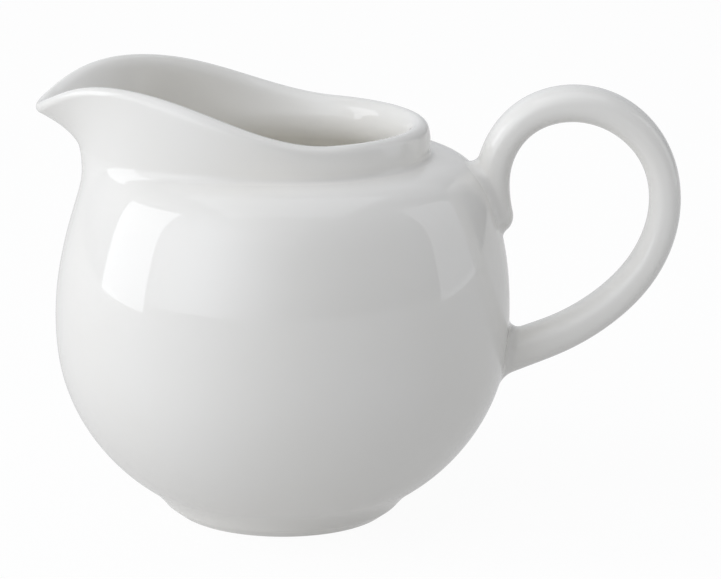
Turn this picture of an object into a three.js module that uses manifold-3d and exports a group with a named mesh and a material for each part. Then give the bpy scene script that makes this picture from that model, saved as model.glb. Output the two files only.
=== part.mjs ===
// A porcelain cream jug: a round hollow bowl on a low flared foot, a short collar that runs out
// into a pouring spout, and an ear-shaped loop handle luted on with slip at two joints.
// Millimetres, +Z up. The spout points along -X and the handle along +X. Outlines are points of
// [radius, height] about the bowl's axis, and angles are degrees round it from the spout's tip.

import * as THREE from 'three';
import { mergeVertices } from 'three/addons/utils/BufferGeometryUtils.js';
import Module from 'manifold-3d';

const wasm = await Module();
wasm.setup();

const { degToRad, lerp, clamp } = THREE.MathUtils;

// ---- Driving dimensions ----

const pieceGap = 0.3; // between neighbouring pieces of clay
const wallThickness = 3;
const collarWallThickness = 4.6; // at the crease behind the jug
const thickensFrom = 60; // height from which the wall grows towards the collar

// The shoulder crease is where the collar and the spout rise out of the bowl.
const creaseHeight = 73;
const collarCreaseRadius = 28.6;
const throatCreaseRadius = 40.1;
const throatSpread = 92; // angle from the tip at which the throat has become collar
const creaseRounding = 1.4;

// The bowl's outside, then how it goes on behind the jug and under the spout.
const bellyOutline = [
  [25.1, 4.2],
  [30.8, 8.2],
  [36.6, 14],
  [41.4, 21.4],
  [44.4, 30],
  [45.3, 38.5],
];
const shoulderOutline = [
  [45.1, 47.5],
  [44, 55.3],
  [42.3, 61.8],
  [39.6, 67.9],
  [35, 72],
  [collarCreaseRadius, creaseHeight],
];
const throatOutline = [
  [44.85, 47.5],
  [43.4, 55.3],
  [42.1, 60.2],
  [40.7, 65],
  [39.9, 69],
  [throatCreaseRadius, creaseHeight],
];
// The inside from the wall down to the middle of the floor.
const floorOutline = [
  [27.4, 9.7],
  [23.5, 7.7],
  [18, 6.9],
  [0, 6.8],
];

// The lip of the collar and of the spout, measured at its crest.
const collarLip = { radius: 26.8, height: 79.7, halfThickness: 1.85 };
const tipLip = { radius: 47.6, height: 83.2, halfThickness: 1.3 };
const collarBulge = 0.4;
const throatFlare = 1.88; // power of the throat's outward curve; 1 is straight
const noseRounding = 12; // degrees over which the plan of the tip is blunt
const spoutNarrowing = 27; // degrees in which the spout's reach falls to 1/e
const crestRise = 9.4; // of the spout's crest over the collar's lip
const crestFrom = 25; // degrees from the tip at which the crest is highest
const crestTo = 111; // and at which it is level with the collar
const beakDrop = 5.9; // of the tip below the crest
const beakWidth = 14.2;

const foot = { height: 3.9, soleInner: 18.3, soleOuter: 20.7, topInner: 17.2, topOuter: 25.1 };
const footBulge = { radius: 23.6, height: 1.9 }; // its outside swells between sole and top
const footEdge = 0.5;

// The handle's middle line as [x, z], from its heel on the bowl's side, over the top, to its foot.
const handleLine = [
  [43.2, 57.4],
  [41.6, 64.6],
  [42, 72],
  [47.8, 80.6],
  [56.2, 83.5],
  [64.2, 82.1],
  [72.9, 74.5],
  [75.7, 62.6],
  [71.6, 50.3],
  [63.4, 41.6],
  [55.4, 36.7],
  [48.8, 34],
  [42, 31.4],
];
const handleHalfWidth = 5.2;
const handleEdge = 2.6; // power of its section: 2 is an ellipse, and more is squarer
// Half the thickness in the handle's own plane, at shares of its length.
const handleThickness = [
  [0, 3.3],
  [0.08, 3.4],
  [0.18, 3.3],
  [0.36, 3.55],
  [0.55, 3.1],
  [0.7, 3.25],
  [0.85, 3.5],
  [1, 3.9],
];
const heelShare = 0.02; // of the length, over which the heel is rounded off
const slipThickness = 0.8;
const slipRim = 0.8; // by which the slip stands out round the handle

// ---- Fineness of the mesh ----

const azimuthSteps = 56;
const handleSteps = 40;
const sectionSteps = 20;

// ---- Plans and heights round the jug ----

/** 1 at the spout's tip, falling to 0 where the throat has become collar. */
function throatShare(angle) {
  const share = clamp(angle / throatSpread, 0, 1);
  return (1 + Math.cos(share * Math.PI)) / 2;
}

function lipAt(angle) {
  const fromNose = Math.hypot(angle, noseRounding) - noseRounding;
  const reach = Math.exp(-fromNose / spoutNarrowing);
  const down = clamp((angle - crestFrom) / (crestTo - crestFrom), 0, 1);
  const rise = (crestRise * (1 + Math.cos(down * Math.PI))) / 2;
  const drop = beakDrop * Math.exp(-((angle / beakWidth) ** 2));
  return {
    radius: lerp(collarLip.radius, tipLip.radius, reach),
    height: collarLip.height + rise - drop,
    halfThickness: lerp(collarLip.halfThickness, tipLip.halfThickness, reach),
  };
}

// ---- Outlines ----

/** Evenly spread points on the smooth curve through some points. */
function smoothThrough(points, steps) {
  const curve = new THREE.SplineCurve(points.map(([x, y]) => new THREE.Vector2(x, y)));
  return curve.getPoints(steps);
}

/** Steps round a corner, from and to a point on each side of it. */
function roundedCorner(before, corner, after, steps) {
  return new THREE.QuadraticBezierCurve(before, corner, after).getPoints(steps);
}

/** An outline moved sideways, to its left as it is walked; distance is a number for each point. */
function offsetOutline(outline, distances) {
  return outline.map((point, i) => {
    const before = outline[Math.max(i - 1, 0)];
    const after = outline[Math.min(i + 1, outline.length - 1)];
    const along = after.clone().sub(before).normalize();
    return new THREE.Vector2(-along.y, along.x).multiplyScalar(distances[i]).add(point);
  });
}

function blendOutlines(from, to, share) {
  return from.map(([x, y], i) => [lerp(x, to[i][0], share), lerp(y, to[i][1], share)]);
}

/** The bowl's outside at an angle, from the foot to the crease. */
function bowlOutside(angle, steps) {
  const behind = [...bellyOutline, ...shoulderOutline];
  const front = [...bellyOutline, ...throatOutline];
  return smoothThrough(blendOutlines(behind, front, throatShare(angle)), steps);
}

/** The outside of the collar or the spout at an angle, from the crease to where the lip begins. */
function neckOutside(angle, crease, steps) {
  const lip = lipAt(angle);
  const toThroat = throatShare(angle);
  const flare = lerp(1, throatFlare, toThroat);
  const middle = new THREE.Vector2(lip.radius, lip.height - lip.halfThickness);
  const lean = Math.atan2(middle.y - crease.y, flare * (middle.x - crease.x));
  const outward = new THREE.Vector2(Math.sin(lean), -Math.cos(lean));
  const top = outward.clone().multiplyScalar(lip.halfThickness).add(middle);
  const wall = [];
  for (let i = 0; i <= steps; i++) {
    const up = i / steps;
    const bulge = collarBulge * (1 - toThroat) * 4 * up * (1 - up);
    const radius = lerp(crease.x, top.x, up ** flare) + bulge;
    wall.push(new THREE.Vector2(radius, lerp(crease.y, top.y, up)));
  }
  return { wall, middle, lean, halfThickness: lip.halfThickness };
}

/** The round of the lip, from the top of the outside over to the inside. */
function lipRound({ middle, lean, halfThickness }, steps) {
  const round = [];
  for (let i = 1; i < steps; i++) {
    const turn = lean - Math.PI / 2 + (i / steps) * Math.PI;
    const arm = new THREE.Vector2(Math.cos(turn), Math.sin(turn));
    round.push(arm.multiplyScalar(halfThickness).add(middle));
  }
  return round;
}

/** The whole section of bowl and neck at an angle: up the outside, over the lip, down inside. */
function vesselSection(angle) {
  const bowl = bowlOutside(angle, 15);
  const crease = bowl.pop();
  const neck = neckOutside(angle, crease, 6);
  const lastOfBowl = bowl.at(-1);
  const before = crease.clone().sub(lastOfBowl).setLength(-creaseRounding).add(crease);
  const firstOfWall = neck.wall[1];
  const after = firstOfWall.clone().sub(crease).setLength(creaseRounding).add(crease);
  const outside = [...bowl, ...roundedCorner(before, crease, after, 3), ...neck.wall.slice(2)];

  const atCrease = lerp(collarWallThickness, wallThickness, throatShare(angle));
  const thicknesses = outside.map(({ y }) => {
    const thicken = clamp((y - thickensFrom) / (creaseHeight - thickensFrom), 0, 1);
    const up = clamp((y - creaseHeight) / (neck.middle.y - creaseHeight), 0, 1);
    return lerp(lerp(wallThickness, atCrease, thicken), 2 * neck.halfThickness, up);
  });
  const firstOffFloor = 3;
  const inside = offsetOutline(outside, thicknesses).slice(firstOffFloor).reverse();
  const floor = floorOutline.map(([x, y]) => new THREE.Vector2(x, y));
  const underMiddle = new THREE.Vector2(0, bellyOutline[0][1]);
  return [underMiddle, ...outside, ...lipRound(neck, 6), ...inside, ...floor];
}

// ---- Surfaces ----

/**
 * A closed surface over rings of equal length. It closes on a point at each end, which is the
 * end ring's middle, or with wraps the last ring joins the first.
 */
function skin(rings, wraps = false) {
  const perRing = rings[0].length;
  const positions = rings.flat().flatMap((point) => point.toArray());
  const index = [];
  const at = (ring, step) => (ring % rings.length) * perRing + (step % perRing);
  const bands = wraps ? rings.length : rings.length - 1;
  for (let ring = 0; ring < bands; ring++) {
    for (let step = 0; step < perRing; step++) {
      const corners = [at(ring, step), at(ring, step + 1), at(ring + 1, step + 1), at(ring + 1, step)];
      index.push(corners[0], corners[1], corners[2], corners[0], corners[2], corners[3]);
    }
  }
  if (!wraps) {
    for (const [ring, flip] of [[0, true], [rings.length - 1, false]]) {
      const middle = new THREE.Vector3();
      rings[ring].forEach((point) => middle.addScaledVector(point, 1 / perRing));
      const hub = positions.length / 3;
      positions.push(...middle.toArray());
      for (let step = 0; step < perRing; step++) {
        const edge = [at(ring, step), at(ring, step + 1)];
        index.push(hub, ...(flip ? edge.reverse() : edge));
      }
    }
  }
  const geometry = new THREE.BufferGeometry();
  geometry.setAttribute('position', new THREE.Float32BufferAttribute(positions, 3));
  geometry.setIndex(index);
  return geometry;
}

/** Angles round the jug, closer together at the spout's tip, as [angle from the tip, side]. */
function azimuths() {
  const half = azimuthSteps / 2;
  const spread = (step) => 180 * (0.55 * (step / half) + 0.45 * (step / half) ** 2);
  const list = [];
  for (let step = 0; step < azimuthSteps; step++) {
    const near = step <= half;
    list.push({ angle: spread(near ? step : azimuthSteps - step), side: near ? 1 : -1 });
  }
  return list;
}

function vesselGeometry() {
  const columns = azimuths().map(({ angle, side }) => {
    const around = degToRad(180 - side * angle);
    const section = vesselSection(angle);
    return section.map(({ x, y }) => new THREE.Vector3(x * Math.cos(around), x * Math.sin(around), y));
  });
  const rings = columns[0].map((_, row) => columns.map((column) => column[row]).reverse());
  return skin(rings.slice(1, -1));
}

/** A surface of revolution about Z, through [radius, height] points. */
function turned(outline, steps) {
  const points = outline.map(([x, y]) => new THREE.Vector2(x, y));
  return new THREE.LatheGeometry(points, steps).rotateX(Math.PI / 2);
}

/** The filled bowl behind the jug, grown outward by a clearance, for trimming what joins it. */
function grownBowl(clearance) {
  const outside = bowlOutside(180, 30);
  const grown = offsetOutline(outside, outside.map(() => -clearance));
  const bottom = [0, grown[0].y];
  const top = [0, grown.at(-1).y];
  return turned([bottom, ...grown.map(({ x, y }) => [x, y]), top], 96);
}

function alongTable(table, share) {
  const next = table.findIndex(([at]) => at >= share);
  if (next <= 0) return table[0][1];
  const [from, low] = table[next - 1];
  const [to, high] = table[next];
  return lerp(low, high, (share - from) / (to - from));
}

/** The handle's sweep, grown by a margin all round. */
function handleSweep(margin) {
  const line = new THREE.CatmullRomCurve3(
    handleLine.map(([x, z]) => new THREE.Vector3(x, 0, z)),
    false,
    'centripetal',
  );
  const across = new THREE.Vector3(0, 1, 0);
  const rings = [];
  for (let step = 0; step <= handleSteps; step++) {
    const share = step / handleSteps;
    const middle = line.getPointAt(share);
    const thick = across.clone().cross(line.getTangentAt(share));
    const intoHeel = clamp(1 - share / heelShare, 0, 1);
    const heel = Math.sqrt(1 - 0.75 * intoHeel ** 2);
    const halfThick = (alongTable(handleThickness, share) + margin) * heel;
    const halfWide = (handleHalfWidth + margin) * heel;
    const ring = [];
    for (let i = 0; i < sectionSteps; i++) {
      const turn = (2 * Math.PI * i) / sectionSteps;
      const power = 2 / handleEdge;
      const u = Math.sign(Math.cos(turn)) * Math.abs(Math.cos(turn)) ** power;
      const v = Math.sign(Math.sin(turn)) * Math.abs(Math.sin(turn)) ** power;
      const point = middle.clone().addScaledVector(thick, halfThick * u);
      ring.push(point.addScaledVector(across, halfWide * v));
    }
    rings.push(ring);
  }
  return skin(rings);
}

// ---- Cutting and joining ----

function toSolid(geometry) {
  const bare = geometry.clone();
  bare.deleteAttribute('normal');
  bare.deleteAttribute('uv');
  const merged = mergeVertices(bare, 1e-4);
  const mesh = new wasm.Mesh({
    numProp: 3,
    vertProperties: new Float32Array(merged.attributes.position.array),
    triVerts: new Uint32Array(merged.index.array),
  });
  return new wasm.Manifold(mesh);
}

function toGeometry(solid) {
  const mesh = solid.getMesh();
  const geometry = new THREE.BufferGeometry();
  geometry.setAttribute('position', new THREE.BufferAttribute(mesh.vertProperties, 3));
  geometry.setIndex(new THREE.BufferAttribute(mesh.triVerts, 1));
  geometry.computeVertexNormals();
  return geometry;
}

/** A block wider than the jug between two heights. */
function slab(low, high) {
  const size = 400;
  return toSolid(new THREE.BoxGeometry(size, size, high - low).translate(0, 0, (low + high) / 2));
}

// ---- Pieces ----

const seamHeight = creaseHeight + creaseRounding / 2;
const vessel = toSolid(vesselGeometry());

function bowlGeometry() {
  return toGeometry(vessel.intersect(slab(-100, seamHeight - pieceGap / 2)));
}

function neckGeometry() {
  return toGeometry(vessel.intersect(slab(seamHeight + pieceGap / 2, 300)));
}

function footGeometry() {
  const { height, soleInner, soleOuter, topInner, topOuter } = foot;
  const outline = [
    [soleInner, 0],
    [soleOuter, 0],
    [soleOuter + footEdge, footEdge],
    [footBulge.radius, footBulge.height],
    [topOuter, height],
    [topInner, height],
    [soleInner - footEdge, footEdge],
    [soleInner, 0],
  ];
  return turned(outline, azimuthSteps);
}

function handleGeometry() {
  const clearance = 2 * pieceGap + slipThickness;
  return toGeometry(toSolid(handleSweep(0)).subtract(toSolid(grownBowl(clearance))));
}

/** The slip between the bowl and one end of the handle, within two heights. */
function slipGeometry(low, high) {
  const outer = toSolid(grownBowl(pieceGap + slipThickness));
  const inner = toSolid(grownBowl(pieceGap));
  const around = toSolid(handleSweep(slipRim)).intersect(slab(low, high));
  return toGeometry(around.intersect(outer).subtract(inner));
}

// ---- Assembly ----

function glaze() {
  return new THREE.MeshStandardMaterial({ color: 0xf1f1ee, roughness: 0.08, metalness: 0 });
}

function piece(name, geometry, material) {
  const mesh = new THREE.Mesh(geometry, material);
  mesh.name = name;
  return mesh;
}

const betweenJoints = 48; // a height between the handle's two roots

const pieces = new THREE.Group();
pieces.add(
  piece('bowl', bowlGeometry(), glaze()),
  piece('neck_and_spout', neckGeometry(), glaze()),
  piece('foot_ring', footGeometry(), glaze()),
  piece('handle', handleGeometry(), glaze()),
  piece('upper_slip_joint', slipGeometry(betweenJoints, creaseHeight), glaze()),
  piece('lower_slip_joint', slipGeometry(0, betweenJoints), glaze()),
);

// The origin is on the table, under the middle of the whole jug.
const bounds = new THREE.Box3().setFromObject(pieces);
const middle = bounds.getCenter(new THREE.Vector3());
pieces.position.set(-middle.x, -middle.y, -bounds.min.z);

const jug = new THREE.Group();
jug.add(pieces);

export default jug;
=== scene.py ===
"""A glazed porcelain cream jug: thrown bowl, collar running out into a spout, turned foot ring and
an ear-shaped loop handle that is luted on with slip at two joints.

Shapes are worked out in millimetres about the bowl's upright axis, with the spout along -X and the
handle along +X. Outlines are [radius, height]. add_piece() takes them to the row frame, in metres.
"""

import math

import bpy
import numpy as np
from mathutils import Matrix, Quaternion, Vector


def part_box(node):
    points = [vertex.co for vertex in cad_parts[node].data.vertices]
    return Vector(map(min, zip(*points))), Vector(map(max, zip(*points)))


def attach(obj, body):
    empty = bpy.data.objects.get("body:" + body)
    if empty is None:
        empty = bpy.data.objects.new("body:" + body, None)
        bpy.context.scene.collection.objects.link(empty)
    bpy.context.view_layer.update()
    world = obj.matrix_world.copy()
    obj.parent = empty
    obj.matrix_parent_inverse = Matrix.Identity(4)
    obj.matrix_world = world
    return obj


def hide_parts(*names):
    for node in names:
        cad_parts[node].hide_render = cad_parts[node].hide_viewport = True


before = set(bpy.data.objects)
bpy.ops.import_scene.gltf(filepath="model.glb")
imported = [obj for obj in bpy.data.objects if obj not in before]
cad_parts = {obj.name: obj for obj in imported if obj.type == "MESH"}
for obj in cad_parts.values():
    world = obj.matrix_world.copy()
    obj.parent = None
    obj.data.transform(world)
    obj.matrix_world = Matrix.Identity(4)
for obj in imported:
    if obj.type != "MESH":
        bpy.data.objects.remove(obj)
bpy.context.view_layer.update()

MM = 0.001
BODY = "root"
foot_low, foot_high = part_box("foot_ring")
AXIS_X = (foot_low.x + foot_high.x) / 2

# ---- Sizes of the vessel ----

WALL = 3.0
COLLAR_WALL = 5.0
THICKENS_FROM = 60.0  # height from which the wall grows towards the collar
CREASE_HEIGHT = 73.0
THROAT_SPREAD = 92.0  # degrees from the tip at which the throat has become collar
CREASE_ROUNDING = 1.7
# How far the inside's bends are spread out at the lip, at the crease and elsewhere.
LIP_EASE, CREASE_EASE, LEAST_EASE = 0.5, 3.8, 0.1
CREASE_EASE_TO = 18.0  # distance below the crease over which that fades
BELLY = [[25.1, 4.2], [30.8, 8.2], [36.6, 14], [41.4, 21.4], [44.4, 30], [45.3, 38.5]]
SHOULDER = [
    [45.1, 47.5], [44, 55.3], [42.3, 61.8], [39.6, 67.9], [35, 72], [28.6, CREASE_HEIGHT],
]
THROAT = [
    [44.85, 47.5], [43.4, 55.3], [42.1, 60.2], [40.7, 65], [39.9, 69], [40.1, CREASE_HEIGHT],
]
# The inside follows the wall down to the height INSIDE_FROM, then this line to the middle of the
# floor.
INSIDE_FROM = 31.0
FLOOR = [[38.7, 22.6], [34.9, 16.4], [30.4, 11.7], [25.2, 8.6], [19, 7.2], [10, 6.8], [0, 6.8]]
UNDERSIDE = [[0, 4.9], [8, 4.85], [14, 4.6], [18, 4.3], [22, 4.2]]
BELLY_STIFFNESS = 2e-6

# Radius of the lip's middle, height of its top, half its thickness, and how far it rolls over
# inward and down on the inside.
COLLAR_LIP = {"radius": 26.8, "height": 79.7, "half": 1.85, "width": 2.3, "depth": 3.6}
TIP_LIP = {"radius": 47.6, "height": 83.2, "half": 1.3, "width": 1.6, "depth": 2.2}
COLLAR_BULGE = 0.4  # of the collar's outside, halfway up
THROAT_FLARE = 1.88
# The lip's height and radius round the jug, in degrees from the tip and in millimetres.
NOSE_ROUNDING = 12.0
SPOUT_NARROWING = 27.0
CREST_RISE, CREST_FROM, CREST_TO = 9.4, 25.0, 111.0
BEAK_DROP, BEAK_WIDTH = 5.9, 14.2

# ---- Sizes of the foot ring ----

FOOT_OUTSIDE = [[20.7, 0], [21.2, 0.12], [21.9, 0.6], [23.6, 1.9], [25.1, 3.9]]
FOOT_FILLET_UP, FOOT_FILLET_DOWN = 3.6, 1.8  # reach of its fillet up the belly and down the foot
SOLE_BEVEL = [[17.9, 0.35], [18.18, 0.08], [18.3, 0.0]]  # from the recess down to the sole
RECESS_TOP, RECESS_HEIGHT = 17.2, 4.3
RECESS_FILLET, RECESS_FLARE = 1.4, 0.2
FOOT_TOP = [[-1.0, 0.3], [15.8, 4.9]]  # hidden: inward from the fillet's end, and the recess's rim

# ---- Sizes of the handle ----

HANDLE_LINE = [
    [43.2, 57.4], [41.6, 64.6], [42, 72], [47.8, 80.6], [56.2, 83.5], [64.2, 82.1], [72.9, 74.5],
    [75.7, 62.6], [71.6, 50.3], [63.4, 41.6], [55.4, 36.7], [48.8, 34], [42, 31.4],
]
HANDLE_STIFFNESS, THICKNESS_STIFFNESS = 2e-8, 1e-6
HANDLE_HALF_WIDTH = 5.2
HANDLE_EDGE = 2.6  # exponent of its section: 2 is an ellipse, and higher is squarer
# Half the handle's thickness, at shares of its length from the heel at its upper end.
HANDLE_THICKNESS = [
    [0, 3.3], [0.08, 3.4], [0.18, 3.3], [0.36, 3.55],
    [0.55, 3.1], [0.7, 3.25], [0.85, 3.5], [1, 3.9],
]
HEEL_ROUND = 3.5  # length over which the upper end is rounded off
ROOT_DEPTH = 1.3  # how far the handle's ends sit in the bowl's wall

# Widths of the slip's fillets on each side of the joint line: over, beside and under the handle.
UPPER_SLIP = {"over": 4.4, "beside": 2.0, "under": 1.2}
LOWER_SLIP = {"over": 3.0, "beside": 1.9, "under": 2.6}
SLIP_BLEND = 0.12  # share of the width over which the shading blends into handle and bowl
SLIP_MARGIN = 0.8  # how far the slip runs on under their skin, beyond its edges
SLIP_PROUD, SLIP_SUNK = 0.006, 0.03
SLIP_BACK = 0.5  # depth of its hidden back

# ---- Materials ----

GLAZE_TINTS = [(0.957, 0.943, 0.904), (0.968, 0.956, 0.922)]
GLAZE_ROUGHNESS, GLAZE_IOR = 0.035, 1.52
BISCUIT_TINTS = [(0.70, 0.67, 0.61), (0.78, 0.75, 0.70)]
BISCUIT_ROUGHNESS = 0.75
FLOOR_TINTS = [(0.47, 0.47, 0.47), (0.49, 0.49, 0.49)]
FLOOR_ROUGHNESS = 0.9
GLAZE_DRIFT, BISCUIT_GRAIN, FLOOR_DRIFT = 45.0, 900.0, 6.0  # scales of their colour noise

# ---- Light ----

# Azimuth and elevation in degrees, and strength, of the room's broad lobes of light.
ROOM_LOBES = [
    (180, 15, 0.61), (225, 15, 0.41), (315, 15, 1.95), (45, 15, 0.08), (90, 15, 0.4),
]
LOBE_TIGHTNESS = 5.0
LIGHT_COLOUR = (0.968, 0.985, 1.022)
JUG_MIDDLE = 0.045  # height, in metres, that the softboxes look at
FLOOR_BACKLIGHT = 0.16  # share of the floor's glow that lights the jug
SEEN_WHITENING = 0.71  # how much further it is burnt out to white where it is seen directly
MIRRORED_WHITENING = 0.3  # and where the glaze mirrors it
FLOOR_GLOW = 1.08
FLOOR_SIZE = 6.0
FLOOR_GAP = 0.00005  # keeps the floor's face apart from the sole's

# ---- Camera ----

CAMERA_FROM = (1.0, 14.57)  # azimuth and elevation in degrees
CAMERA_ROLL = 0.67
CAMERA_DISTANCE = 0.7
CAMERA_PIVOT, CAMERA_TARGET = (0, 0, 0.040), (0.0155, 0.00027, 0.04513)  # from the bowl's axis
CAMERA_SENSOR, CAMERA_LENS = 36.0, 174.55

# ---- Fineness of the meshes ----

AROUND = 288
BOWL_ROWS, NECK_ROWS, LIP_ROWS, CREASE_ROWS, FLOOR_ROWS = 130, 26, 24, 12, 44
HANDLE_RINGS, HANDLE_COLUMNS, HEEL_RINGS = 240, 128, 18
SLIP_COLUMNS, SLIP_ROWS = 200, 28
FOOT_ROWS, FOOT_FILLET_ROWS, RECESS_ROWS = 80, 32, 10
OUTLINE_POINTS, WALL_POINTS, FLOOR_POINTS = 400, 160, 200
HANDLE_STEPS, THICKNESS_STEPS, SECTION_POINTS = 700, 200, 1441
LEAD = 24  # straight steps added before and after the handle's line
OVERRUN = 20  # of those, the steps that its lower end runs on into the bowl

# ---- Curves ----


def lerp(a, b, share):
    return a + (b - a) * share


def unit(vectors):
    return vectors / np.linalg.norm(vectors, axis=-1, keepdims=True)


def chord_knots(points):
    """Shares of the length of a chain of points at each of them."""
    steps = np.linalg.norm(np.diff(points, axis=0), axis=1)
    length = np.concatenate([[0], np.cumsum(steps)])
    return length / length[-1]


def fair_weights(knots, count, stiffness):
    """Weights that turn points at the knots into a fair curve of count evenly timed points."""
    picks = np.zeros((len(knots), count))
    place = np.asarray(knots) * (count - 1)
    low = np.minimum(place.astype(int), count - 2)
    rows = np.arange(len(knots))
    picks[rows, low] = 1 - (place - low)
    picks[rows, low + 1] = place - low
    bends = np.diff(np.eye(count), 2, axis=0) * (count - 1) ** 1.5
    return np.linalg.solve(picks.T @ picks + stiffness * bends.T @ bends, picks.T)


def fair_curve(points, count, stiffness=1e-7):
    points = np.asarray(points, float)
    return fair_weights(chord_knots(points), count, stiffness) @ points


def resample(line, shares):
    """Points of a polyline at shares of its length."""
    at = chord_knots(line)
    return np.stack([np.interp(shares, at, line[:, k]) for k in range(line.shape[1])], axis=1)


def length_of(line):
    return np.linalg.norm(np.diff(line, axis=0), axis=1).sum()


def softened(line, reach):
    """A polyline with its bends spread out over a reach along it, given for each row."""
    at = chord_knots(line) * length_of(line)
    gap = (at[:, None] - at[None, :]) / reach[:, None]
    weights = np.exp(-(gap**2) / 2) * np.gradient(at)[None, :]
    return weights @ line / weights.sum(axis=1, keepdims=True)


def crossing(point, way, other_point, other_way):
    """Where two lines in a plane cross."""
    share = np.linalg.solve(np.stack([way, -other_way], axis=1), other_point - point)[0]
    return point + way * share


def left_normals(line):
    along = unit(np.gradient(line, axis=0))
    return np.stack([-along[:, 1], along[:, 0]], axis=1)


def quadratic(a, b, c, count):
    t = np.linspace(0, 1, count)[:, None]
    return (1 - t) ** 2 * a + 2 * t * (1 - t) * b + t**2 * c


# ---- The vessel's section at each angle from the tip ----

outline_knots = chord_knots((np.array(BELLY + SHOULDER, float) + np.array(BELLY + THROAT)) / 2)
outline_weights = fair_weights(outline_knots, OUTLINE_POINTS, BELLY_STIFFNESS)
back_outline = outline_weights @ np.array(BELLY + SHOULDER, float)
front_outline = outline_weights @ np.array(BELLY + THROAT, float)


def throat_share(angle):
    share = min(max(angle / THROAT_SPREAD, 0), 1)
    return (1 + math.cos(share * math.pi)) / 2


def lip_at(angle):
    from_nose = math.hypot(angle, NOSE_ROUNDING) - NOSE_ROUNDING
    reach = math.exp(-from_nose / SPOUT_NARROWING)
    down = min(max((angle - CREST_FROM) / (CREST_TO - CREST_FROM), 0), 1)
    rise = CREST_RISE * (1 + math.cos(down * math.pi)) / 2
    drop = BEAK_DROP * math.exp(-((angle / BEAK_WIDTH) ** 2))
    radius = lerp(COLLAR_LIP["radius"], TIP_LIP["radius"], reach)
    shape = [lerp(COLLAR_LIP[size], TIP_LIP[size], reach) for size in ("half", "width", "depth")]
    return radius, COLLAR_LIP["height"] + rise - drop, *shape


def over_crease(bowl, wall, short=0):
    """The outline of bowl and neck, with its corner at the crease rounded off, ending
    short of the top of the wall."""
    bowl_cut = 1 - CREASE_ROUNDING / length_of(bowl)
    wall_cut = CREASE_ROUNDING / length_of(wall)
    below = resample(bowl, np.linspace(0, bowl_cut, BOWL_ROWS))
    above = resample(wall, np.linspace(wall_cut, 1 - short / length_of(wall), NECK_ROWS))
    corner = quadratic(below[-1], wall[0], above[0], CREASE_ROWS)
    return np.concatenate([below[:-1], corner, above[1:]])


def section(angle):
    """Bowl outside, neck outside, lip, neck inside and bowl inside, as one line of points."""
    toward_throat = throat_share(angle)
    bowl = lerp(back_outline, front_outline, toward_throat)
    crease = bowl[-1]
    lip_radius, lip_height, half, width, depth = lip_at(angle)
    flare = lerp(1, THROAT_FLARE, toward_throat)
    middle = np.array([lip_radius, lip_height - half])
    lean = math.atan2(middle[1] - crease[1], flare * (middle[0] - crease[0]))
    along = np.array([math.cos(lean), math.sin(lean)])
    outward = np.array([along[1], -along[0]])
    top = middle + half * outward
    up = np.linspace(0, 1, WALL_POINTS)
    wall = np.stack([lerp(crease[0], top[0], up**flare), lerp(crease[1], top[1], up)], axis=1)
    plain = over_crease(bowl, wall, depth - half)
    wall[:, 0] += COLLAR_BULGE * (1 - toward_throat) * 4 * up * (1 - up)
    outside = over_crease(bowl, wall)

    heights = [0, THICKENS_FROM, CREASE_HEIGHT, middle[1]]
    walls = [WALL, WALL, lerp(COLLAR_WALL, WALL, toward_throat), half + width]
    thickness = np.interp(plain[:, 1], heights, walls)[:, None]
    inside = (plain + thickness * left_normals(plain))[::-1]

    # The lip is round outside, and rolls more gently over to the inside.
    turn = np.linspace(0, math.pi, LIP_ROWS + 1)[1:-1, None]
    crown, under = middle + half * along, inside[0]
    corner = crossing(crown, outward, under, inside[1] - under)
    rolled = under + crown - corner + (corner - under) * np.sin(turn)
    rolled -= (corner - crown) * np.cos(turn)
    round_lip = middle + half * (outward * np.cos(turn) + along * np.sin(turn))
    lip = np.where(turn < math.pi / 2, round_lip, rolled)
    kept = inside_rows
    join = inside[kept - 1]
    before = inside[kept - 8]
    floor = fair_curve([before, join, *FLOOR], FLOOR_POINTS)
    past_join = np.argmin(np.linalg.norm(floor - join, axis=1)) + 4
    floor = resample(floor[past_join:], np.linspace(0, 1, FLOOR_ROWS))
    inside = np.concatenate([lip[LIP_ROWS // 2 :], inside[:kept], floor])
    at = chord_knots(inside) * length_of(inside)
    rows_of_lip = LIP_ROWS // 2 - 1
    crease_at = at[rows_of_lip + NECK_ROWS + CREASE_ROWS // 2]
    reach_at = [0, at[rows_of_lip], crease_at, crease_at + CREASE_EASE_TO]
    reach = np.interp(at, reach_at, [LEAST_EASE, LIP_EASE, CREASE_EASE, LEAST_EASE])
    return np.concatenate([outside, lip[: LIP_ROWS // 2], softened(inside, reach)])


# Rows of the outside, counted down from the lip, that the inside follows to INSIDE_FROM.
bowl_heights = resample(back_outline, np.linspace(0, 1, BOWL_ROWS))[:, 1]
rows_above = int((bowl_heights > INSIDE_FROM).sum())
inside_rows = NECK_ROWS - 1 + CREASE_ROWS + rows_above - 1


def revolve(radius_height, around):
    """Points at [radius, height] turned by angles from +X about the axis."""
    r, z, around = np.broadcast_arrays(radius_height[..., 0], radius_height[..., 1], around)
    return np.stack([r * np.cos(around), r * np.sin(around), z], axis=-1)


# ---- Meshes ----


def grid_faces(rows, columns, wrap_rows=False):
    """Quads of a grid that wraps along its columns, facing left of rows going up."""
    row = np.arange(rows if wrap_rows else rows - 1)[:, None]
    column = np.arange(columns)[None, :]
    next_row, next_column = (row + 1) % rows, (column + 1) % columns
    a = row * columns + column
    b = row * columns + next_column
    c = next_row * columns + next_column
    d = next_row * columns + column
    return np.stack([a, b, c, d], axis=-1).reshape(-1, 4).tolist()


def grid_normals(grid, wrap_rows=False):
    """Normals of a grid of points that wraps along its columns."""
    along = np.roll(grid, -1, 1) - np.roll(grid, 1, 1)
    up = np.roll(grid, -1, 0) - np.roll(grid, 1, 0) if wrap_rows else np.gradient(grid, axis=0)
    return unit(np.cross(along, up))


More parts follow.
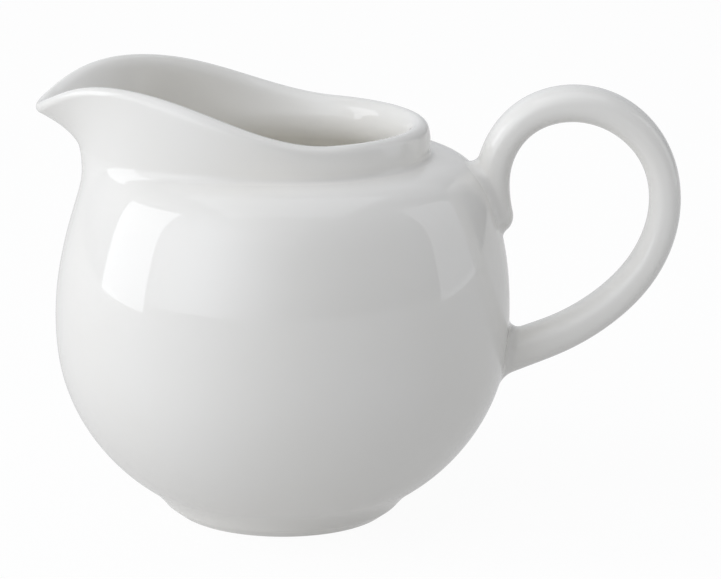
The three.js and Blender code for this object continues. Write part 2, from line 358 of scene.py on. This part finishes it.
def add_piece(name, points, faces, materials, normals, flat=(), second=()):
    """A closed mesh from points in millimetres, with a normal for each. Faces numbered in flat
    are not smoothed, and those in second take the second material."""
    mesh = bpy.data.meshes.new(name)
    mesh.from_pydata((np.asarray(points) * MM + [AXIS_X, 0, 0]).tolist(), [], faces)
    for material in materials:
        mesh.materials.append(material)
    chosen = np.zeros(len(faces), np.int32)
    chosen[list(second)] = 1
    mesh.polygons.foreach_set("material_index", chosen)
    mesh.update()
    corners = np.empty(len(mesh.loops), np.int32)
    mesh.loops.foreach_get("vertex_index", corners)
    corner_normals = np.asarray(normals)[corners]
    for number in flat:
        polygon = mesh.polygons[number]
        span = slice(polygon.loop_start, polygon.loop_start + polygon.loop_total)
        corner_normals[span] = polygon.normal
    mesh.normals_split_custom_set(corner_normals.tolist())
    piece = bpy.data.objects.new(name, mesh)
    bpy.context.scene.collection.objects.link(piece)
    return piece


def belongs(piece, node_name):
    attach(piece, BODY)
    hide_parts(node_name)


# ---- Materials ----


def node(tree, kind, **settings):
    made = tree.nodes.new(kind)
    for key, value in settings.items():
        if key in made.inputs:
            made.inputs[key].default_value = value
        else:
            setattr(made, key, value)
    return made


def new_material(name):
    material = bpy.data.materials.new(name)
    material.use_nodes = True
    tree = material.node_tree
    shader = tree.nodes["Principled BSDF"]
    place = tree.nodes.new("ShaderNodeTexCoord")
    return material, tree, shader, place.outputs["Object"]


def tint_noise(tree, place, scale, low, high):
    """A soft drift between two colours."""
    noise = node(tree, "ShaderNodeTexNoise", Scale=scale, Detail=3.0)
    tree.links.new(place, noise.inputs["Vector"])
    ramp = tree.nodes.new("ShaderNodeValToRGB")
    ramp.color_ramp.elements[0].position = 0.3
    ramp.color_ramp.elements[1].position = 0.7
    ramp.color_ramp.elements[0].color = (*low, 1)
    ramp.color_ramp.elements[1].color = (*high, 1)
    tree.links.new(noise.outputs["Fac"], ramp.inputs["Fac"])
    return ramp.outputs["Color"]


def porcelain_glaze():
    material, tree, shader, place = new_material("porcelain_glaze")
    colour = tint_noise(tree, place, GLAZE_DRIFT, *GLAZE_TINTS)
    tree.links.new(colour, shader.inputs["Base Color"])
    shader.inputs["Roughness"].default_value = GLAZE_ROUGHNESS
    shader.inputs["IOR"].default_value = GLAZE_IOR
    return material


def bare_biscuit():
    material, tree, shader, place = new_material("bare_biscuit")
    colour = tint_noise(tree, place, BISCUIT_GRAIN, *BISCUIT_TINTS)
    tree.links.new(colour, shader.inputs["Base Color"])
    shader.inputs["Roughness"].default_value = BISCUIT_ROUGHNESS
    return material


glaze = porcelain_glaze()
biscuit = bare_biscuit()

# ---- Bowl and neck ----

turns = np.arange(AROUND) * 2 * math.pi / AROUND
from_tip = np.degrees(np.abs((turns % (2 * math.pi)) - math.pi))
sections = {angle: section(angle) for angle in sorted(set(np.round(from_tip, 6)))}
columns = np.stack([sections[angle] for angle in np.round(from_tip, 6)], axis=1)
vessel = revolve(columns, turns[None, :])
vessel_normals = grid_normals(vessel)

seam_out = BOWL_ROWS - 1 + CREASE_ROWS + 1
lip_end = BOWL_ROWS - 1 + CREASE_ROWS + NECK_ROWS - 1 + LIP_ROWS - 1
seam_in = lip_end + (lip_end - LIP_ROWS + 1) - 1 - seam_out


def make_neck():
    rows = slice(seam_out, seam_in + 1)
    grid, normals = vessel[rows], vessel_normals[rows]
    count = len(grid)
    faces = grid_faces(count, AROUND, wrap_rows=True)
    flat = range((count - 1) * AROUND, count * AROUND)
    return add_piece(
        "neck_and_spout_glazed",
        grid.reshape(-1, 3), faces, [glaze], normals.reshape(-1, 3), flat,
    )


def make_bowl():
    under = revolve(np.array(UNDERSIDE[1:], float)[:, None, :], turns[None, :])
    outer, outer_normals = vessel[: seam_out + 1], vessel_normals[: seam_out + 1]
    inner, inner_normals = vessel[seam_in:-1], vessel_normals[seam_in:-1]
    grid = np.concatenate([under, outer, inner])
    down = np.zeros_like(under)
    down[..., 2] = -1
    normals = np.concatenate([down, outer_normals, inner_normals]).reshape(-1, 3)
    faces = grid_faces(len(grid), AROUND)
    seam = len(under) + len(outer) - 1
    flat = range(seam * AROUND, (seam + 1) * AROUND)
    points = np.concatenate([grid.reshape(-1, 3), [[0, 0, UNDERSIDE[0][1]], [0, 0, FLOOR[-1][1]]]])
    normals = np.concatenate([normals, [[0, 0, -1], [0, 0, 1]]])
    first, last = len(points) - 2, len(points) - 1
    top_row = (len(grid) - 1) * AROUND
    for i in range(AROUND):
        j = (i + 1) % AROUND
        faces.append([first, j, i])
        faces.append([last, top_row + i, top_row + j])
    return add_piece("bowl_glazed", points, faces, [glaze], normals, flat)


belongs(make_bowl(), "bowl")
belongs(make_neck(), "neck_and_spout")

# ---- Foot ring ----


def make_foot():
    """Section of the foot: outside, a soft fillet up the belly, then the hidden top, the recess
    under the bowl and the sole."""
    belly = resample(back_outline, np.linspace(0, 0.3, 300))  # its lowest part, finely
    end = np.searchsorted(np.linalg.norm(belly - belly[0], axis=1), FOOT_FILLET_UP)
    run_out = belly[end]
    wall = fair_curve(FOOT_OUTSIDE, FOOT_ROWS)
    start = np.searchsorted(-np.linalg.norm(wall - wall[-1], axis=1), -FOOT_FILLET_DOWN)
    corner = crossing(wall[start], wall[start + 1] - wall[start], run_out, belly[end + 1] - run_out)
    seen = np.concatenate([wall[:start], quadratic(wall[start], corner, run_out, FOOT_FILLET_ROWS)])
    hidden = [run_out + FOOT_TOP[0], FOOT_TOP[1]]
    inner_top = np.array([RECESS_TOP, RECESS_HEIGHT])
    recess = quadratic(
        inner_top - [RECESS_FILLET, 0],
        inner_top,
        inner_top + [RECESS_FLARE, -RECESS_FILLET],
        RECESS_ROWS,
    )
    outline = np.concatenate([seen, hidden, recess, SOLE_BEVEL])
    grid = revolve(outline[:, None, :], turns[None, :])
    normals = grid_normals(grid, wrap_rows=True)
    beyond = revolve(belly[end + 3][None, None, :], turns[None, :])
    rows = len(seen)
    normals[:rows] = grid_normals(np.concatenate([grid[:rows], beyond]))[:rows]
    faces = grid_faces(len(grid), AROUND, wrap_rows=True)
    top = range((rows - 1) * AROUND, (rows + 1) * AROUND)
    bottom = range(len(faces) - AROUND, len(faces))
    return add_piece(
        "foot_ring_glazed", grid.reshape(-1, 3), faces, [glaze, biscuit],
        normals.reshape(-1, 3), [*top, *bottom], second=bottom,
    )


belongs(make_foot(), "foot_ring")

# ---- The handle's surface ----

handle_line = fair_curve(HANDLE_LINE, HANDLE_STEPS, HANDLE_STIFFNESS)
handle_length = length_of(handle_line)
line_step = handle_length / HANDLE_STEPS
handle_line = resample(handle_line, np.linspace(0, 1, HANDLE_STEPS + 1))
first_way, last_way = unit(handle_line[1] - handle_line[0]), unit(handle_line[-1] - handle_line[-2])
handle_line = np.concatenate([
    handle_line[0] - first_way * line_step * np.arange(LEAD, 0, -1)[:, None],
    handle_line,
    handle_line[-1] + last_way * line_step * np.arange(1, LEAD + 1)[:, None],
])
handle_way = unit(np.gradient(handle_line, axis=0))
handle_side = np.stack([handle_way[:, 1], -handle_way[:, 0]], axis=1)
handle_at = (np.arange(len(handle_line)) - LEAD) * line_step
thickness_at, halves = np.array(HANDLE_THICKNESS, float).T
thickness_weights = fair_weights(thickness_at, THICKNESS_STEPS, THICKNESS_STIFFNESS)
handle_half = np.interp(
    handle_at / handle_length, np.linspace(0, 1, THICKNESS_STEPS), thickness_weights @ halves
)


def along_line(values, at):
    """Values kept along the handle's line, at lengths along it."""
    if values.ndim == 1:
        return np.interp(at, handle_at, values)
    return np.stack([np.interp(at, handle_at, values[:, k]) for k in (0, 1)], axis=1)


def handle_value(points):
    """Below 0 in the handle, 0 on its surface, and about the distance near it."""
    flat = points[:, [0, 2]]
    nearest = np.argmin(((flat[:, None, :] - handle_line[None, :, :]) ** 2).sum(-1), axis=1)
    at = handle_at[nearest] + ((flat - handle_line[nearest]) * handle_way[nearest]).sum(-1)
    across = ((flat - along_line(handle_line, at)) * along_line(handle_side, at)).sum(-1)
    half = along_line(handle_half, at)
    reach = np.abs(across / half) ** HANDLE_EDGE
    reach += np.abs(points[:, 1] / HANDLE_HALF_WIDTH) ** HANDLE_EDGE
    into_heel = np.maximum(1 - at / HEEL_ROUND, 0)
    return (np.sqrt(reach ** (2 / HANDLE_EDGE) + into_heel**2) - 1) * half


def bowl_value(points):
    """The same for the bowl's outside behind the jug."""
    flat = np.stack([np.hypot(points[:, 0], points[:, 1]), points[:, 2]], axis=1)
    nearest = np.argmin(((flat[:, None, :] - back_outline[None, :, :]) ** 2).sum(-1), axis=1)
    return -((flat - back_outline[nearest]) * back_normals[nearest]).sum(-1)


back_normals = left_normals(back_outline)


def slope(value, points, step=0.04):
    """The gradient of a value at points."""
    gradient = np.empty_like(points)
    for k in range(3):
        shift = np.zeros(3)
        shift[k] = step
        gradient[:, k] = (value(points + shift) - value(points - shift)) / (2 * step)
    return gradient


def onto(value, points, rounds=5):
    """Points moved straight to where the value is 0."""
    for _ in range(rounds):
        g = slope(value, points)
        points = points - g * (value(points) / (g * g).sum(-1))[:, None]
    return points


def handle_rings():
    """Rings of the handle from the heel's tip to its lower end."""
    turn = np.linspace(0, 2 * math.pi, SECTION_POINTS)
    cosine, sine = np.cos(turn), np.sin(turn)
    u = np.sign(cosine) * np.abs(cosine) ** (2 / HANDLE_EDGE)
    v = np.sign(sine) * np.abs(sine) ** (2 / HANDLE_EDGE)
    angle = np.linspace(0, math.pi / 2, HEEL_RINGS + 1)[1:]
    heel = [(HEEL_ROUND * (1 - math.cos(a)), math.sin(a)) for a in angle]
    end = handle_length + line_step * OVERRUN
    body = [(at, 1.0) for at in np.linspace(HEEL_ROUND, end, HANDLE_RINGS)[1:]]
    rings = []
    for at, scale in heel + body:
        at = np.array([at])
        half = along_line(handle_half, at)[0] * scale
        outline = np.stack([u * half, v * HANDLE_HALF_WIDTH * scale], axis=1)
        outline = resample(outline, np.linspace(0, 1, HANDLE_COLUMNS + 1)[:-1])
        centre, side = along_line(handle_line, at)[0], along_line(handle_side, at)[0]
        ring = np.zeros((HANDLE_COLUMNS, 3))
        ring[:, [0, 2]] = centre + outline[:, :1] * side
        ring[:, 1] = outline[:, 1]
        rings.append(ring)
    return np.array(rings)


rings = handle_rings()


def make_handle():
    normals = grid_normals(rings).reshape(-1, 3)
    points = rings.reshape(-1, 3).copy()
    depth = bowl_value(points) + ROOT_DEPTH
    low = (depth < 0) & (np.hypot(points[:, 0], points[:, 1]) > 25)
    outward = slope(bowl_value, points[low])
    points[low] -= outward * depth[low][:, None]
    count = len(rings)
    tip_x, tip_z = handle_line[LEAD]
    ends = np.array([[tip_x, 0, tip_z], points[-HANDLE_COLUMNS:].mean(0)])
    sunk = bowl_value(ends) + ROOT_DEPTH
    ends -= slope(bowl_value, ends) * np.minimum(sunk, 0)[:, None]
    faces = grid_faces(count, HANDLE_COLUMNS)
    first, last = len(points), len(points) + 1
    top = (count - 1) * HANDLE_COLUMNS
    for i in range(HANDLE_COLUMNS):
        j = (i + 1) % HANDLE_COLUMNS
        faces.append([first, j, i])
        faces.append([last, top + i, top + j])
    points = np.concatenate([points, ends])
    tip_normal = [-handle_way[LEAD][0], 0, -handle_way[LEAD][1]]
    normals = np.concatenate([normals, [tip_normal, [-1, 0, 0]]])
    return add_piece("handle_glazed", points, faces, [glaze], normals)


belongs(make_handle(), "handle")

# ---- Slip joints ----


def joint_line(grid):
    """Where the handle's skin first dives into the bowl, as an evenly spaced closed line.
    grid holds rings going toward the joint."""
    value = bowl_value(grid.reshape(-1, 3)).reshape(grid.shape[:2])
    row = np.argmax(value < 0, axis=0)
    column = np.arange(grid.shape[1])
    above, below = value[row - 1, column], value[row, column]
    share = (above / (above - below))[:, None]
    line = lerp(grid[row - 1, column], grid[row, column], share)
    line = np.concatenate([line, line[:1]])
    line = resample(line, np.linspace(0, 1, SLIP_COLUMNS + 1)[:-1])
    for _ in range(8):
        to_bowl, to_handle = slope(bowl_value, line), slope(handle_value, line)
        off = np.stack([bowl_value(line), handle_value(line)], axis=1)
        rows = np.stack([to_bowl, to_handle], axis=1)
        line = line - np.einsum("nij,nj->ni", np.linalg.pinv(rows), off)
    return line


def smooth_round(values, times):
    for _ in range(times):
        values = (np.roll(values, 1, 0) + 2 * values + np.roll(values, -1, 0)) / 4
    return values


def make_slip(name, grid, widths):
    line = joint_line(grid)
    way = unit(np.roll(line, -1, 0) - np.roll(line, 1, 0))
    on_bowl, on_handle = unit(slope(bowl_value, line)), unit(slope(handle_value, line))
    away_bowl = unit(np.cross(way, on_bowl))
    away_bowl *= np.sign((away_bowl * on_handle).sum(-1, keepdims=True))
    away_handle = unit(np.cross(way, on_handle))
    away_handle *= np.sign((away_handle * on_bowl).sum(-1, keepdims=True))

    rise = away_bowl[:, 2]
    width = widths["beside"] + np.maximum(rise, 0) ** 2 * (widths["over"] - widths["beside"])
    width += np.maximum(-rise, 0) ** 2 * (widths["under"] - widths["beside"])
    width = smooth_round(width, 6)[:, None]

    p0 = smooth_round(onto(handle_value, line + away_handle * width), 4)
    p3 = smooth_round(onto(bowl_value, line + away_bowl * width), 4)
    p0, p3 = onto(handle_value, p0), onto(bowl_value, p3)
    n0, n3 = unit(slope(handle_value, p0)), unit(slope(bowl_value, p3))
    toward = line - p0
    t0 = unit(toward - n0 * (toward * n0).sum(-1, keepdims=True))
    leaving = p3 - line
    t3 = unit(leaving - n3 * (leaving * n3).sum(-1, keepdims=True))
    bend = np.arccos(np.clip((t0 * t3).sum(-1, keepdims=True), -1, 1))
    radius = np.linalg.norm(p3 - p0, axis=-1, keepdims=True) / (2 * np.sin(bend / 2))
    arm = radius * np.tan(bend / 4) * 4 / 3

    b0, b3 = p0 + n0 * SLIP_PROUD, p3 + n3 * SLIP_PROUD
    b1, b2 = b0 + t0 * arm, b3 - t3 * arm
    ts = (1 - np.cos(np.linspace(0, math.pi, SLIP_ROWS))) / 2
    strip, derivative = [], []
    for t in ts:
        strip.append(
            (1 - t) ** 3 * b0 + 3 * t * (1 - t) ** 2 * b1 + 3 * t**2 * (1 - t) * b2 + t**3 * b3
        )
        derivative.append(
            3 * (1 - t) ** 2 * (b1 - b0) + 6 * t * (1 - t) * (b2 - b1) + 3 * t**2 * (b3 - b2)
        )
    strip, derivative = np.array(strip), np.array(derivative)
    round_way = np.roll(strip, -1, 1) - np.roll(strip, 1, 1)
    strip_normals = unit(np.cross(round_way, derivative))
    if (strip_normals[0] * n0).sum() < 0:
        strip_normals = -strip_normals
    for t, normals in zip(ts, strip_normals):
        near0, near3 = (max(1 - end / SLIP_BLEND, 0) ** 2 for end in (t, 1 - t))
        normals[:] = unit(normals + near0 * (n0 - normals) + near3 * (n3 - normals))

    edge0 = onto(handle_value, p0 - t0 * SLIP_MARGIN)
    edge3 = onto(bowl_value, p3 + t3 * SLIP_MARGIN)
    en0, en3 = unit(slope(handle_value, edge0)), unit(slope(bowl_value, edge3))
    top = np.concatenate([[edge0 - en0 * SLIP_SUNK], strip, [edge3 - en3 * SLIP_SUNK]])
    top_normals = np.concatenate([[en0], strip_normals, [en3]])
    back = np.array([
        edge3 - en3 * SLIP_BACK,
        line - (on_bowl + on_handle) * SLIP_BACK * 0.7,
        edge0 - en0 * SLIP_BACK,
    ])
    rows = np.concatenate([top, back])
    normals = np.concatenate([top_normals, [-en3, -unit(on_bowl + on_handle), -en0]])
    faces = grid_faces(len(rows), SLIP_COLUMNS, wrap_rows=True)
    flat = range((len(top) - 1) * SLIP_COLUMNS, len(rows) * SLIP_COLUMNS)
    face = np.array(faces[len(top) // 2 * SLIP_COLUMNS])
    corners = rows.reshape(-1, 3)[face]
    outward = np.cross(corners[1] - corners[0], corners[2] - corners[1])
    if (outward * normals.reshape(-1, 3)[face[0]]).sum() < 0:
        faces = [f[::-1] for f in faces]
    return add_piece(name, rows.reshape(-1, 3), faces, [glaze], normals.reshape(-1, 3), flat)


middle_ring = len(rings) // 2
belongs(make_slip("upper_slip_fillet", rings[middle_ring::-1], UPPER_SLIP), "upper_slip_joint")
belongs(make_slip("lower_slip_fillet", rings[middle_ring:], LOWER_SLIP), "lower_slip_joint")

# ---- Floor, light and camera ----


def direction(azimuth, elevation):
    """A way out from the jug. Azimuth 0 is in front of it, at -Y, and 90 is behind its handle."""
    a, e = math.radians(azimuth), math.radians(elevation)
    return Vector((math.sin(a) * math.cos(e), -math.cos(a) * math.cos(e), math.sin(e)))


def add_floor():
    half = FLOOR_SIZE / 2
    corners = [(x * half, y * half, -FLOOR_GAP) for x, y in ((-1, -1), (1, -1), (1, 1), (-1, 1))]
    mesh = bpy.data.meshes.new("floor")
    mesh.from_pydata(corners, [], [(0, 1, 2, 3)])
    floor = bpy.data.objects.new("floor", mesh)
    bpy.context.scene.collection.objects.link(floor)
    material, tree, shader, place = new_material("pale_floor")
    colour = tint_noise(tree, place, FLOOR_DRIFT, *FLOOR_TINTS)
    tree.links.new(colour, shader.inputs["Base Color"])
    shader.inputs["Roughness"].default_value = FLOOR_ROUGHNESS
    burnt_out = node(tree, "ShaderNodeEmission", Color=(1, 1, 1, 1), Strength=FLOOR_GLOW)
    rays = tree.nodes.new("ShaderNodeLightPath").outputs
    mirrored = node(tree, "ShaderNodeMath", operation="MULTIPLY_ADD")
    tree.links.new(rays["Is Glossy Ray"], mirrored.inputs[0])
    mirrored.inputs[1].default_value = MIRRORED_WHITENING
    mirrored.inputs[2].default_value = FLOOR_BACKLIGHT
    share = node(tree, "ShaderNodeMath", operation="MULTIPLY_ADD")
    tree.links.new(rays["Is Camera Ray"], share.inputs[0])
    share.inputs[1].default_value = SEEN_WHITENING
    tree.links.new(mirrored.outputs[0], share.inputs[2])
    mix = tree.nodes.new("ShaderNodeMixShader")
    tree.links.new(share.outputs[0], mix.inputs[0])
    tree.links.new(shader.outputs[0], mix.inputs[1])
    tree.links.new(burnt_out.outputs[0], mix.inputs[2])
    tree.links.new(mix.outputs[0], tree.nodes["Material Output"].inputs["Surface"])
    mesh.materials.append(material)


def add_panel(name, first_edge, second_edge, low, high, radiance):
    """An upright panel of soft light. Its upright edges are given as azimuth and distance."""
    ends = [direction(azimuth, 0) * distance for azimuth, distance in (first_edge, second_edge)]
    along = ends[1] - ends[0]
    middle = (ends[0] + ends[1]) / 2
    away = Vector((along.y, -along.x, 0)).normalized()
    if away.dot(middle) < 0:
        away = -away
    middle.z = (low + high) / 2
    add_lamp(name, middle, away, along.length, high - low, radiance)


def add_softbox(name, azimuth, elevation, width, height, radiance):
    """A rectangle of soft light 1 m away that looks at the jug's middle."""
    away = direction(azimuth, elevation)
    add_lamp(name, Vector((0, 0, JUG_MIDDLE)) + away, away, width, height, radiance)


def add_lamp(name, place, away, width, height, radiance):
    light = bpy.data.lights.new(name, "AREA")
    light.shape = "RECTANGLE"
    light.size, light.size_y = width, height
    light.energy = radiance * math.pi * width * height
    light.color = LIGHT_COLOUR
    lamp = bpy.data.objects.new(name, light)
    lamp.location = place
    lamp.rotation_mode = "QUATERNION"
    lamp.rotation_quaternion = away.to_track_quat("Z", "Y")
    bpy.context.scene.collection.objects.link(lamp)


def add_room_light():
    """A room that is lighter on some sides, in broad lobes that have no edges."""
    world = bpy.data.worlds.new("studio")
    world.use_nodes = True
    tree = world.node_tree
    way = tree.nodes.new("ShaderNodeTexCoord").outputs["Generated"]
    total = None
    for azimuth, elevation, strength in ROOM_LOBES:
        toward = node(tree, "ShaderNodeVectorMath", operation="DOT_PRODUCT")
        tree.links.new(way, toward.inputs[0])
        toward.inputs[1].default_value = direction(azimuth, elevation)
        fall = node(tree, "ShaderNodeMath", operation="MULTIPLY_ADD")
        tree.links.new(toward.outputs["Value"], fall.inputs[0])
        fall.inputs[1].default_value = LOBE_TIGHTNESS
        fall.inputs[2].default_value = math.log(strength) - LOBE_TIGHTNESS
        lobe = node(tree, "ShaderNodeMath", operation="EXPONENT")
        tree.links.new(fall.outputs[0], lobe.inputs[0])
        if total is None:
            total = lobe.outputs[0]
        else:
            both = node(tree, "ShaderNodeMath", operation="ADD")
            tree.links.new(total, both.inputs[0])
            tree.links.new(lobe.outputs[0], both.inputs[1])
            total = both.outputs[0]
    tree.links.new(total, tree.nodes["Background"].inputs["Strength"])
    tree.nodes["Background"].inputs["Color"].default_value = (*LIGHT_COLOUR, 1)
    bpy.context.scene.world = world


def add_camera():
    data = bpy.data.cameras.new("view")
    data.sensor_width, data.lens = CAMERA_SENSOR, CAMERA_LENS
    camera = bpy.data.objects.new("view", data)
    axis = Vector((AXIS_X, 0, 0))
    camera.location = axis + Vector(CAMERA_PIVOT) + direction(*CAMERA_FROM) * CAMERA_DISTANCE
    ahead = axis + Vector(CAMERA_TARGET) - camera.location
    roll = Quaternion((0, 0, 1), math.radians(CAMERA_ROLL))
    camera.rotation_mode = "QUATERNION"
    camera.rotation_quaternion = ahead.to_track_quat("-Z", "Y") @ roll
    bpy.context.scene.collection.objects.link(camera)
    bpy.context.scene.camera = camera


add_floor()
add_room_light()
add_panel("left_window", (-72, 0.95), (-103, 1.54), 0, 0.95, 2.15)
add_panel("right_window", (85, 0.92), (119, 1.59), 0, 1.0, 0.8)
add_softbox("back_softbox", 155, 50, 0.9, 0.5, 0.18)
add_softbox("front_softbox", -22, 45, 1.0, 0.6, 0.2)
add_softbox("top_softbox", 0, 88, 1.0, 1.0, 0.82)
add_camera()
bpy.context.scene.view_settings.view_transform = "Standard"
bpy.context.scene.cycles.diffuse_bounces = 8
